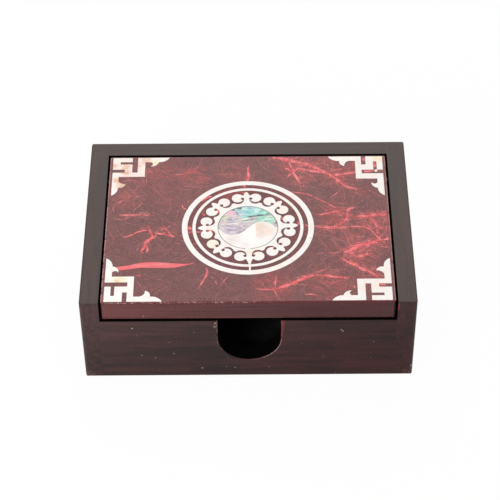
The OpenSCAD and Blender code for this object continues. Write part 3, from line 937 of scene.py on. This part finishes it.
# Red fibres over the lid, in mm: width, strength, side strands and the points that each passes
fibreRoutes = [
    # the forked one at the left, with its foot
    (0.42, 1.0, 2, [(-42.6, -8.2), (-40.8, -7.8), (-38.9, -6.9), (-37.1, -5.8), (-34.8, -4.9),
                   (-33, -4.9)]),
    (0.5, 0.9, 1, [(-33.7, -2.3), (-33.2, -4.5), (-32.4, -6.7), (-32.2, -8.2)]),
    (0.85, 1.0, 1, [(-33.1, -4.9), (-32.4, -6.7), (-32.2, -8.2), (-33.4, -9.7), (-34.3, -10.8),
                   (-34.2, -13.4)]),
    (0.55, 1.0, 0, [(-30.7, -7.0), (-31.6, -8.4), (-33, -9.6), (-34.4, -11.4)]),
    (0.6, 1.0, 0, [(-34.1, -10.4), (-34.7, -13), (-35.5, -14.6), (-35.2, -15.6), (-34.6, -15.8)]),
    (0.6, 1.0, 0, [(-34.2, -11.2), (-33.5, -13.4), (-33.5, -14.7), (-34.2, -15.7)]),
    (0.45, 1.0, 1, [(-32.2, -6.7), (-30.4, -6.3), (-28.5, -6.7), (-26.3, -7.4), (-24.3, -8.2)]),
    (0.42, 0.9, 1, [(-24.5, -8.1), (-26, -6.9), (-27.1, -5.2), (-28.2, -3.4), (-29.4, -2.3)]),
    (0.35, 0.7, 0, [(-29.4, -6), (-28.9, -4.7), (-28.4, -3.3)]),
    # the level one above it and its loop
    (0.5, 0.8, 2, [(-44.6, 2.7), (-42.6, 2.5), (-40.4, 2.6), (-37.8, 2.6), (-35.2, 2.4),
                   (-32.2, 2.2), (-31, 1.6)]),
    (0.35, 0.55, 1, [(-44.6, 2.7), (-45.7, 4.4), (-45.9, 6.6), (-44.4, 8.5), (-41.9, 10.1), (-40, 12.2)]),
    (0.35, 0.45, 1, [(-40, 12.2), (-38.5, 15.1), (-37, 17.3), (-35.2, 19.9)]),
    (0.4, 0.5, 1, [(-35.4, 22.9), (-33.7, 24.2), (-32.4, 24.8)]),
    (0.35, 0.5, 1, [(-45.9, 1.4), (-43.3, 0.3), (-41.1, 0.9), (-38.9, 1.8)]),
    (0.5, 0.6, 2, [(-27.8, 22), (-24.8, 22.3), (-22.3, 22.7), (-19.7, 23.6)]),
    (0.35, 0.4, 1, [(-24.1, 24.7), (-21.6, 24.4), (-19.3, 24.6)]),
    # round the rings
    (0.9, 1.0, 1, [(0.1, 26.2), (0.1, 23.6), (0.3, 21.4), (-0.2, 19.4), (-1, 17.4), (-1.2, 14.8)]),
    (0.6, 0.9, 0, [(-2.1, 13.4), (-1.2, 13), (-0.2, 12.9)]),
    (0.4, 0.8, 0, [(-22.5, 7.6), (-22.1, 5.9), (-20.6, 5)]),
    (0.4, 0.5, 1, [(-21.1, 8.1), (-20.2, 9.2), (-19.1, 10.1)]),
    (0.8, 0.95, 1, [(-16.4, 8.9), (-14.1, 10.7), (-12, 11.6)]),
    (0.9, 0.7, 1, [(-20.6, -3.2), (-19.4, -4.2), (-18.6, -4.4)]),
    (0.6, 0.9, 1, [(-20.4, -6), (-17.6, -5.8), (-15.4, -6)]),
    (0.8, 0.9, 0, [(-11, 4.8), (-10.2, 4), (-9.4, 3)]),
    (0.6, 0.7, 0, [(-4.2, 8.3), (-3, 9), (-2.1, 10.2)]),
    (0.7, 0.9, 0, [(-14.2, -5.8), (-13, -5.3), (-11.7, -5.4)]),
    (0.7, 0.6, 1, [(-15.8, 3.6), (-15, 2.6), (-14.4, 1.6)]),
    (0.8, 0.95, 0, [(16.6, -1.2), (17.2, -2), (17.7, -2.7)]),
    (0.6, 0.7, 0, [(19, -2.5), (19.8, -3), (20.6, -3.5)]),
    (0.6, 0.95, 0, [(11.5, 1.4), (11.6, 0.4), (11.9, -0.6)]),
    # in front, left
    (0.55, 0.85, 1, [(-13.9, -22.2), (-13.4, -24.5), (-14.1, -27.1), (-15.2, -29.6), (-16.6, -32.4)]),
    (0.3, 0.55, 0, [(-13, -25.9), (-11.5, -27.4), (-10.4, -29.6), (-9.9, -31.1)]),
    (0.3, 0.55, 0, [(-5.6, -25.9), (-7.1, -27.4), (-8.6, -30), (-10, -32.2)]),
    (0.4, 0.7, 1, [(-38, -25.5), (-36.6, -26), (-35, -26.1)]),
    (0.35, 0.5, 1, [(-25, -11), (-23.6, -11.2), (-22.4, -11.4)]),
    # the long bundle at the back right and what leaves it
    (1.3, 0.9, 4, [(2, 33.4), (5, 32.3), (8.2, 31.2), (11, 30.3), (14, 29.2), (16.9, 28.3), (19.9, 27.5)]),
    (0.9, 1.0, 4, [(16, 28.6), (19.9, 27.5), (22.5, 26.2), (24.7, 24.6), (26.9, 22.9), (28.8, 21.4),
                   (30.6, 19.4)]),
    (0.7, 1.0, 3, [(27.8, 22.2), (30.6, 19.4), (32.5, 17.2), (34.3, 15.5), (36.6, 14.8), (38.4, 14.3)]),
    (0.55, 0.9, 4, [(16.2, 25.5), (19.5, 24.6), (22.5, 23.8), (24.7, 23.3), (27.4, 22.6)]),
    (0.65, 0.95, 3, [(14.4, 29.6), (14.7, 27), (15.8, 24), (15.8, 22.9), (16.9, 20.3), (18.4, 16.8)]),
    (0.7, 0.9, 2, [(12.7, 25.3), (14.4, 24.3), (16.2, 23.2)]),
    (0.55, 0.8, 2, [(13.3, 19.7), (14.2, 21.4), (15.1, 22.5), (17.6, 25.4)]),
    (0.3, 0.5, 1, [(18.4, 17), (19.6, 15.9), (21, 15.1)]),
    (0.75, 0.95, 3, [(28.6, 21.5), (31.4, 21.8), (34, 22.3), (37.8, 23.2)]),
    (0.4, 0.55, 3, [(27.8, 22.9), (31.7, 24.6), (36.4, 25.3)]),
    # the net at the right
    (0.45, 0.85, 1, [(14.4, 13.5), (17.3, 12.9), (20.3, 12.2), (22.5, 10.7), (24.7, 9.2), (26.9, 7.7),
                    (30.4, 5)]),
    (0.35, 0.6, 1, [(31.6, 15.1), (30.8, 12.9), (29.2, 11.4), (27.7, 9.6)]),
    (0.5, 0.85, 2, [(22.3, 2.2), (24.7, 2.1), (26.9, 2.7), (29.5, 3.5), (32.1, 4.2), (34, 4.6)]),
    (0.8, 0.95, 4, [(36.6, 5.5), (34, 4.4), (33.8, 2.2), (33.4, 0), (31.7, -1.9), (29.6, -3.6)]),
    (0.65, 0.95, 3, [(32.2, -1.3), (29.9, -3.4), (26.9, -4.1), (24, -3.9), (22.3, -3.5)]),
    (1.1, 1.0, 4, [(54, 3.8), (50, 2.9), (47.6, 2.5), (44.3, 2), (41.4, 1.4), (38, 1.1), (34.2, 1.1)]),
    (0.5, 0.9, 2, [(24.7, -5.2), (27.7, -4.7), (30.6, -4.3), (33.6, -3.9), (36.6, -3.7), (39.5, -4.1)]),
    (0.5, 0.95, 1, [(38.4, -3.9), (39.5, -4.1), (41.4, -5.6), (42.8, -7.8), (44.3, -10), (46.4, -12.4)]),
    (0.3, 0.6, 0, [(25.4, -5), (24.2, -5.8), (23.1, -6.8)]),
    (1.5, 1.0, 6, [(45.5, -9.6), (42.5, -11), (39.9, -11.9), (37.3, -13), (34.7, -14.5), (31.2, -16.6)]),
    (0.7, 0.95, 2, [(53, -8), (50, -8.6), (47.6, -9.2), (46.4, -9.8), (44.2, -10.4)]),
    (1.1, 0.75, 4, [(41.6, -16.2), (38.4, -17.2), (35.8, -18.2)]),
    (0.5, 0.6, 2, [(43.2, -12.8), (45, -13.4), (47, -13.8)]),
    (0.9, 0.5, 6, [(39.5, 1.6), (42.5, -1.2), (43.6, -4.9), (43.6, -7.6)]),
    (0.9, 0.5, 6, [(32.4, -12.4), (36.4, -15.6), (40.6, -14.4)]),
    (0.4, 0.6, 2, [(34.2, -15), (35.4, -17.4), (38, -18.6)]),
    (0.4, 0.6, 2, [(31, -16.8), (34, -16.6), (37, -15.2)]),
    (0.8, 1.0, 2, [(30.4, -18), (32.9, -20.2), (35.4, -21.9), (38, -23.7), (40.6, -25.6), (43.6, -27.7)]),
    (0.3, 0.45, 1, [(22.9, -6.7), (24, -9.7), (25.8, -12.6), (28, -14.5)]),
    # in front, right
    (0.4, 0.85, 1, [(2.3, -32.1), (5.5, -32.6), (8.4, -32.4), (11, -31.7)]),
    (1.2, 1.0, 3, [(8.4, -32.5), (11, -31.7), (13.6, -30.4), (16.2, -28.9), (18.8, -27.4),
                   (21, -26.5), (23.2, -26.3)]),
    (0.75, 0.95, 2, [(21, -26.5), (23.2, -26.3), (26.2, -26.7), (28.8, -27.2), (31.2, -27.4), (34, -27.9)]),
    (0.5, 0.85, 1, [(9.4, -25.7), (9, -28.9), (8.8, -31.9), (8.8, -33.7), (10, -36)]),
    (0.4, 0.75, 1, [(18, -35), (20.3, -34.9), (21.8, -35.2), (24.1, -36.8)]),
    (0.3, 0.4, 1, [(23.2, -34.5), (26.9, -30.4), (30.6, -28.9), (34.3, -28.5)]),
    (0.7, 0.6, 0, [(34.6, -30.8), (34.8, -31.6), (34.6, -32.4)]),
    # in the slots of the corner shells
    (0.8, 0.9, 0, [(40.1, 23.4), (41.9, 23.6), (43.7, 23.6)]),
    (0.8, 0.8, 0, [(44.3, 28.3), (44.2, 27), (44.3, 25.3)]),
    (0.9, 0.6, 0, [(40.4, 30.5), (40.5, 29.4), (40.6, 28.3)]),
    (0.8, 0.8, 0, [(42.6, -30.4), (43.8, -30.6), (45.3, -30.9)]),
]

# The one broad, pale strip at the left: each point with the width there
stripRoute = [
    (-43.6, -22.9, 1.5),
    (-42.4, -22.6, 1.7),
    (-38.9, -22.1, 1.9),
    (-35.2, -21.2, 2.3),
    (-31.5, -21.1, 2.7),
    (-27.8, -21.3, 2.4),
    (-24.4, -21.4, 1.9),
    (-21.8, -21.2, 1.1),
    (-19.8, -20.9, 0.5),
    (-17.8, -20.4, 0.2),
]

# Sections of a fibre from flank to flank: share of the half width and share of the height
ridge = ((1.0, 0.0), (0.0, 1.0), (-1.0, 0.0))
plateau = ((1.0, 0.0), (0.7, 1.0), (-0.7, 1.0), (-1.0, 0.0))


# Even points along a smooth curve through the given ones
def smoothRoute(points, step):
    ends = [points[0]] + list(points) + [points[-1]]
    route = []
    for a, b, c, d in zip(ends, ends[1:], ends[2:], ends[3:]):
        a, b, c, d = Vector(a), Vector(b), Vector(c), Vector(d)
        count = max(2, round((c - b).length / step))
        for i in range(count):
            t = i / count
            route.append(0.5 * (2 * b + (c - a) * t + (2 * a - 5 * b + 4 * c - d) * t * t
                                + (3 * b - a - 3 * c + d) * t ** 3))
    route.append(Vector(points[-1]))
    return route


# A closed sliver along a route, its flanks just under the paper: a width and a height for each point
def addSliver(mesh, route, widths, heights, section, look):
    rows = []
    last = len(route) - 1
    margin = look["margin"]
    for i, point in enumerate(route):
        ahead = route[min(i + 1, last)] - route[max(i - 1, 0)]
        inX = abs(point.x) < lidHigh.x - margin
        inY = lidLow.y < point.y - margin and point.y <= lidHigh.y - margin
        if ahead.length < look["shortest"] or not inX or not inY:
            continue
        aside = Vector((-ahead.y, ahead.x)).normalized()
        row = []
        for across, up in section:
            x = point.x + aside.x * across * 0.5 * widths[i]
            y = point.y + aside.y * across * 0.5 * widths[i]
            x = min(max(x, lidLow.x + margin), lidHigh.x - margin)
            y = min(max(y, lidLow.y + margin), lidHigh.y - margin)
            z = lidHigh.z - look["sink"] + up * (heights[i] + look["sink"])
            row.append(mesh.verts.new((x * mm, y * mm, z * mm)))
        rows.append(row)
    if len(rows) > 1:
        skinRows(mesh, rows)


# Full in the middle and fine at both tips
def tapered(value, count, sharpness, tipLoss=0.9):
    last = max(count - 1, 1)
    return [value * (1 - tipLoss * abs(2 * i / last - 1) ** sharpness) for i in range(count)]


# One fibre: a broad soft body and thin strands that wander beside it
def addFibre(mesh, width, strength, strands, points, dice, look):
    full = paperLook["fullLift"] * strength
    route = smoothRoute(points, look["step"])
    count = len(route)
    shifted = look["unevenShift"] * width
    uneven = [1 + look["uneven"] * math.sin(look["unevenPace"] * i + shifted) for i in range(count)]
    widths = [w * u for w, u in zip(tapered(look["spread"] * width, count, 5), uneven)]
    addSliver(mesh, route, widths, tapered(full, count, 6), ridge, look)
    for strand in range(strands):
        shift = dice.choice((-1, 1)) * dice.uniform(*look["strandShift"]) * width
        sway = dice.uniform(*look["strandSway"]) * width
        pitch = dice.uniform(*look["strandPitch"])
        phase = dice.uniform(0, math.tau)
        begin = int(dice.uniform(*look["strandTrim"]) * count)
        end = count - int(dice.uniform(*look["strandTrim"]) * count)
        beside = []
        for i in range(begin, end):
            ahead = route[min(i + 1, count - 1)] - route[max(i - 1, 0)]
            aside = Vector((-ahead.y, ahead.x)).normalized()
            swing = sway * math.sin(phase + i * look["step"] / pitch * math.tau)
            beside.append(route[i] + aside * (shift + swing))
        if len(beside) > 3:
            thin = tapered(dice.uniform(*look["strandWidth"]), len(beside), 4)
            low = tapered(full * dice.uniform(*look["strandLift"]), len(beside), 4)
            addSliver(mesh, beside, thin, low, ridge, look)


# A short thin hair that bends at random
def addHair(mesh, start, heading, strength, dice, look):
    bend = dice.uniform(-look["hairBend"], look["hairBend"])
    route = [Vector(start)]
    for i in range(int(dice.uniform(*look["hairSteps"]))):
        heading += bend + dice.uniform(-look["hairWander"], look["hairWander"])
        route.append(route[-1] + Vector((math.cos(heading), math.sin(heading))) * look["step"])
    low = tapered(paperLook["fullLift"] * strength * dice.uniform(*look["hairLift"]), len(route), 4)
    thin = tapered(dice.uniform(*look["hairWidth"]), len(route), 4)
    addSliver(mesh, route, thin, low, ridge, look)


fibreDice = random.Random(fibreLook["seed"])
fibres = bmesh.new()
for width, strength, strands, points in fibreRoutes:
    addFibre(fibres, width, strength, strands, points, fibreDice, fibreLook)
placePiece("fibres_red", fibres, fibrePaper, "lid")

strip = bmesh.new()
stripLine = smoothRoute(stripRoute, fibreLook["step"])
stripWidths = [fibreLook["stripSpread"] * point.z for point in stripLine]
stripHeights = [paperLook["fullLift"]] * len(stripLine)
addSliver(strip, stripLine, stripWidths, stripHeights, plateau, fibreLook)
placePiece("fibres_strip", strip, stripPaper, "lid")

hairs = bmesh.new()
for i in range(fibreLook["scattered"]):
    x = fibreDice.uniform(lidLow.x, lidHigh.x)
    y = fibreDice.uniform(lidLow.y, lidHigh.y)
    drift = noise.noise(Vector((x / fibreLook["flow"], y / fibreLook["flow"], 4.0)))
    lean = fibreLook["lean"] - fibreLook["leanAcross"] * x / lidHigh.x + fibreLook["leanDrift"] * drift
    heading = lean + fibreDice.gauss(0, fibreLook["leanTurn"])
    addHair(hairs, (x, y), heading, fibreLook["faint"], fibreDice, fibreLook)
for width, strength, strands, points in fibreRoutes:
    route = smoothRoute(points, fibreLook["step"])
    for point, following in zip(route, route[1:]):
        if fibreDice.random() < fibreLook["company"] * strands:
            offX = fibreDice.gauss(0, fibreLook["beside"])
            offY = fibreDice.gauss(0, fibreLook["beside"])
            offset = Vector((offX, offY))
            ahead = following - point
            heading = math.atan2(ahead.y, ahead.x) + fibreDice.gauss(0, fibreLook["hairTurn"])
            addHair(hairs, point + offset, heading, fibreLook["clear"], fibreDice, fibreLook)
placePiece("fibres_hair", hairs, hairPaper, "lid")
print("fibres laid in the lid:", len(fibreRoutes), "and hairs")


feltLook = {
    "black": tone(11, 10, 10),
    "grey": tone(36, 34, 34),
    "roughness": 0.88,
    "sheen": 0.05,
    "specular": 0.05,
    "bump": 0.12,
    "cell": 1.2,
    "rough": 0.05,
    "roughScale": 0.8,
    "ragged": 0.12,
    "raggedScale": 0.5,
    "roundOff": 0.35,
}


def feltFinish(look):
    material, paint = startFinish("blackFelt")
    place = placeInMm(paint)
    nap = cloud(warped(place, 1.5, 0.6), 4.0, 4.0)
    lint = cloud(place, 0.4, 3.0)
    color = (nap * 0.7 + lint * 0.5).rise(0.4, 0.85).mix(look["black"], look["grey"])
    closeFinish(paint, coat(paint, color, nap * 0.1 + look["roughness"], nap, look["bump"],
                            {"Sheen Weight": look["sheen"], "Specular IOR Level": look["specular"]}))
    return material


# A felt sheet in the place of its solid: an uneven top and softly rounded, slightly ragged edges
def cutFelt(name, node, finish, look):
    low, high = nodeBox(node)
    thick = high.z - low.z
    across = round((high.x - low.x) / look["cell"])
    deep = round((high.y - low.y) / look["cell"])
    fine = look["roughScale"]
    wide = look["raggedScale"]
    felt = bmesh.new()
    tops = []
    bottoms = []
    for j in range(deep + 1):
        for i in range(across + 1):
            x = low.x + (high.x - low.x) * i / across
            y = low.y + (high.y - low.y) * j / deep
            border = i in (0, across) or j in (0, deep)
            wave = look["rough"] * (1 + noise.noise(Vector((x * fine, y * fine, 3.0))))
            ragged = look["ragged"] * (1 + noise.noise(Vector((x * wide, y * wide, 9.0))))
            inX = -math.copysign(ragged, x) if i in (0, across) else 0.0
            inY = -math.copysign(ragged, y) if j in (0, deep) else 0.0
            top = high.z - wave - (look["roundOff"] * thick if border else 0.0)
            tops.append(felt.verts.new(((x + inX) * mm, (y + inY) * mm, top * mm)))
            bottoms.append(felt.verts.new(((x + inX) * mm, (y + inY) * mm, low.z * mm)))
    row = across + 1
    for j in range(deep):
        for i in range(across):
            a = j * row + i
            felt.faces.new((tops[a], tops[a + 1], tops[a + row + 1], tops[a + row]))
            felt.faces.new((bottoms[a + row], bottoms[a + row + 1], bottoms[a + 1], bottoms[a]))
    rim = list(range(across)) + [j * row + across for j in range(deep)]
    rim += [deep * row + i for i in range(across, 0, -1)] + [j * row for j in range(deep, 0, -1)]
    for a, b in zip(rim, rim[1:] + rim[:1]):
        felt.faces.new((bottoms[a], bottoms[b], tops[b], tops[a]))
    piece = placePiece(name, felt, finish, "box")
    piece.data.shade_smooth()
    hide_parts(node)


blackFelt = feltFinish(feltLook)
cutFelt("well_lining", "floor_lining", blackFelt, feltLook)
cutFelt("underside_felt", "base_felt", blackFelt, feltLook)
print("felt cut and laid")


floorLook = {"size": 6.0, "drop": 0.00003, "white": (0.9, 0.9, 0.9, 1.0), "seen": 0.97, "mirrored": 0.3}


# Pale floor: nearly white to the eye, and partly so in reflections; the rest of it takes light and shadow
def layFloor(look):
    bpy.ops.mesh.primitive_plane_add(size=look["size"], location=(0, 0, -look["drop"]))
    floor = bpy.context.object
    floor.name = "studio_floor"
    material, paint = startFinish("studioFloor")
    path = paint.node("ShaderNodeLightPath", output="Is Camera Ray")
    mirrored = larger(path.other("Is Glossy Ray"), path.other("Is Transmission Ray")) * look["mirrored"]
    bright = larger(path * look["seen"], mirrored)
    matte = paint.node("ShaderNodeBsdfDiffuse", {}, {"Color": look["white"]})
    glow = paint.node("ShaderNodeEmission", {}, {"Strength": 1.0})
    mixed = paint.node("ShaderNodeMixShader", {}, {0: bright, 1: matte, 2: glow})
    paint.node("ShaderNodeOutputMaterial", {}, {"Surface": mixed})
    floor.data.materials.append(material)


layFloor(floorLook)


worldLook = {"light": 0.45}


def hangSky(look):
    world = bpy.data.worlds.new("studioSky")
    bpy.context.scene.world = world
    world.use_nodes = True
    world.node_tree.nodes.clear()
    paint = Wire(world.node_tree)
    path = paint.node("ShaderNodeLightPath", output="Is Camera Ray")
    seen = larger(larger(path, path.other("Is Glossy Ray")), path.other("Is Transmission Ray"))
    dim = paint.node("ShaderNodeBackground", {}, {"Color": (1, 1, 1, 1), "Strength": look["light"]})
    white = paint.node("ShaderNodeBackground", {}, {"Color": (1, 1, 1, 1), "Strength": 1.0})
    mixed = paint.node("ShaderNodeMixShader", {}, {0: seen, 1: dim, 2: white})
    paint.node("ShaderNodeOutputWorld", {}, {"Surface": mixed})


hangSky(worldLook)

lampLooks = [
    {"name": "softboxBehind", "place": (0.0, 0.84, 0.68), "aim": (0, 0, 0.03), "size": 0.9, "watts": 8.0,
     "color": (1.0, 0.97, 0.93)},
    {"name": "lampLeft", "place": (-0.2, -0.3, 0.2), "aim": (-0.03, -0.05, 0.0), "size": 0.16, "watts": 0.9,
     "color": (1.0, 0.98, 0.96)},
]


def hangLamp(look):
    lamp = bpy.data.lights.new(look["name"], "AREA")
    lamp.shape = "SQUARE"
    lamp.size = look["size"]
    lamp.energy = look["watts"]
    lamp.color = look["color"]
    hung = bpy.data.objects.new(look["name"], lamp)
    hung.location = look["place"]
    hung.rotation_euler = (Vector(look["aim"]) - Vector(look["place"])).to_track_quat("-Z", "Y").to_euler()
    bpy.context.scene.collection.objects.link(hung)


for look in lampLooks:
    hangLamp(look)
print("floor, sky and lamps placed")


# The photograph's view, fitted to the corners of the box
cameraLook = {
    "place": (0.002755, -0.44262, 0.47276),
    "down": 45.538,
    "turn": 0.279,
    "roll": -0.599,
    "focalPixels": 1836.3,
    "framePixels": 500.0,
    "sensor": 36.0,
}


def setCamera(look):
    data = bpy.data.cameras.new("photoCamera")
    data.sensor_width = look["sensor"]
    data.lens = look["sensor"] * look["focalPixels"] / look["framePixels"]
    camera = bpy.data.objects.new("photoCamera", data)
    tilt = Matrix.Rotation(math.radians(90 - look["down"]), 4, "X")
    turn = Matrix.Rotation(math.radians(look["turn"]), 4, "Z")
    roll = Matrix.Rotation(math.radians(look["roll"]), 4, "Z")
    camera.matrix_world = Matrix.Translation(look["place"]) @ turn @ tilt @ roll
    bpy.context.scene.collection.objects.link(camera)
    bpy.context.scene.camera = camera


setCamera(cameraLook)
bpy.context.scene.view_settings.view_transform = "Standard"
print("camera set")
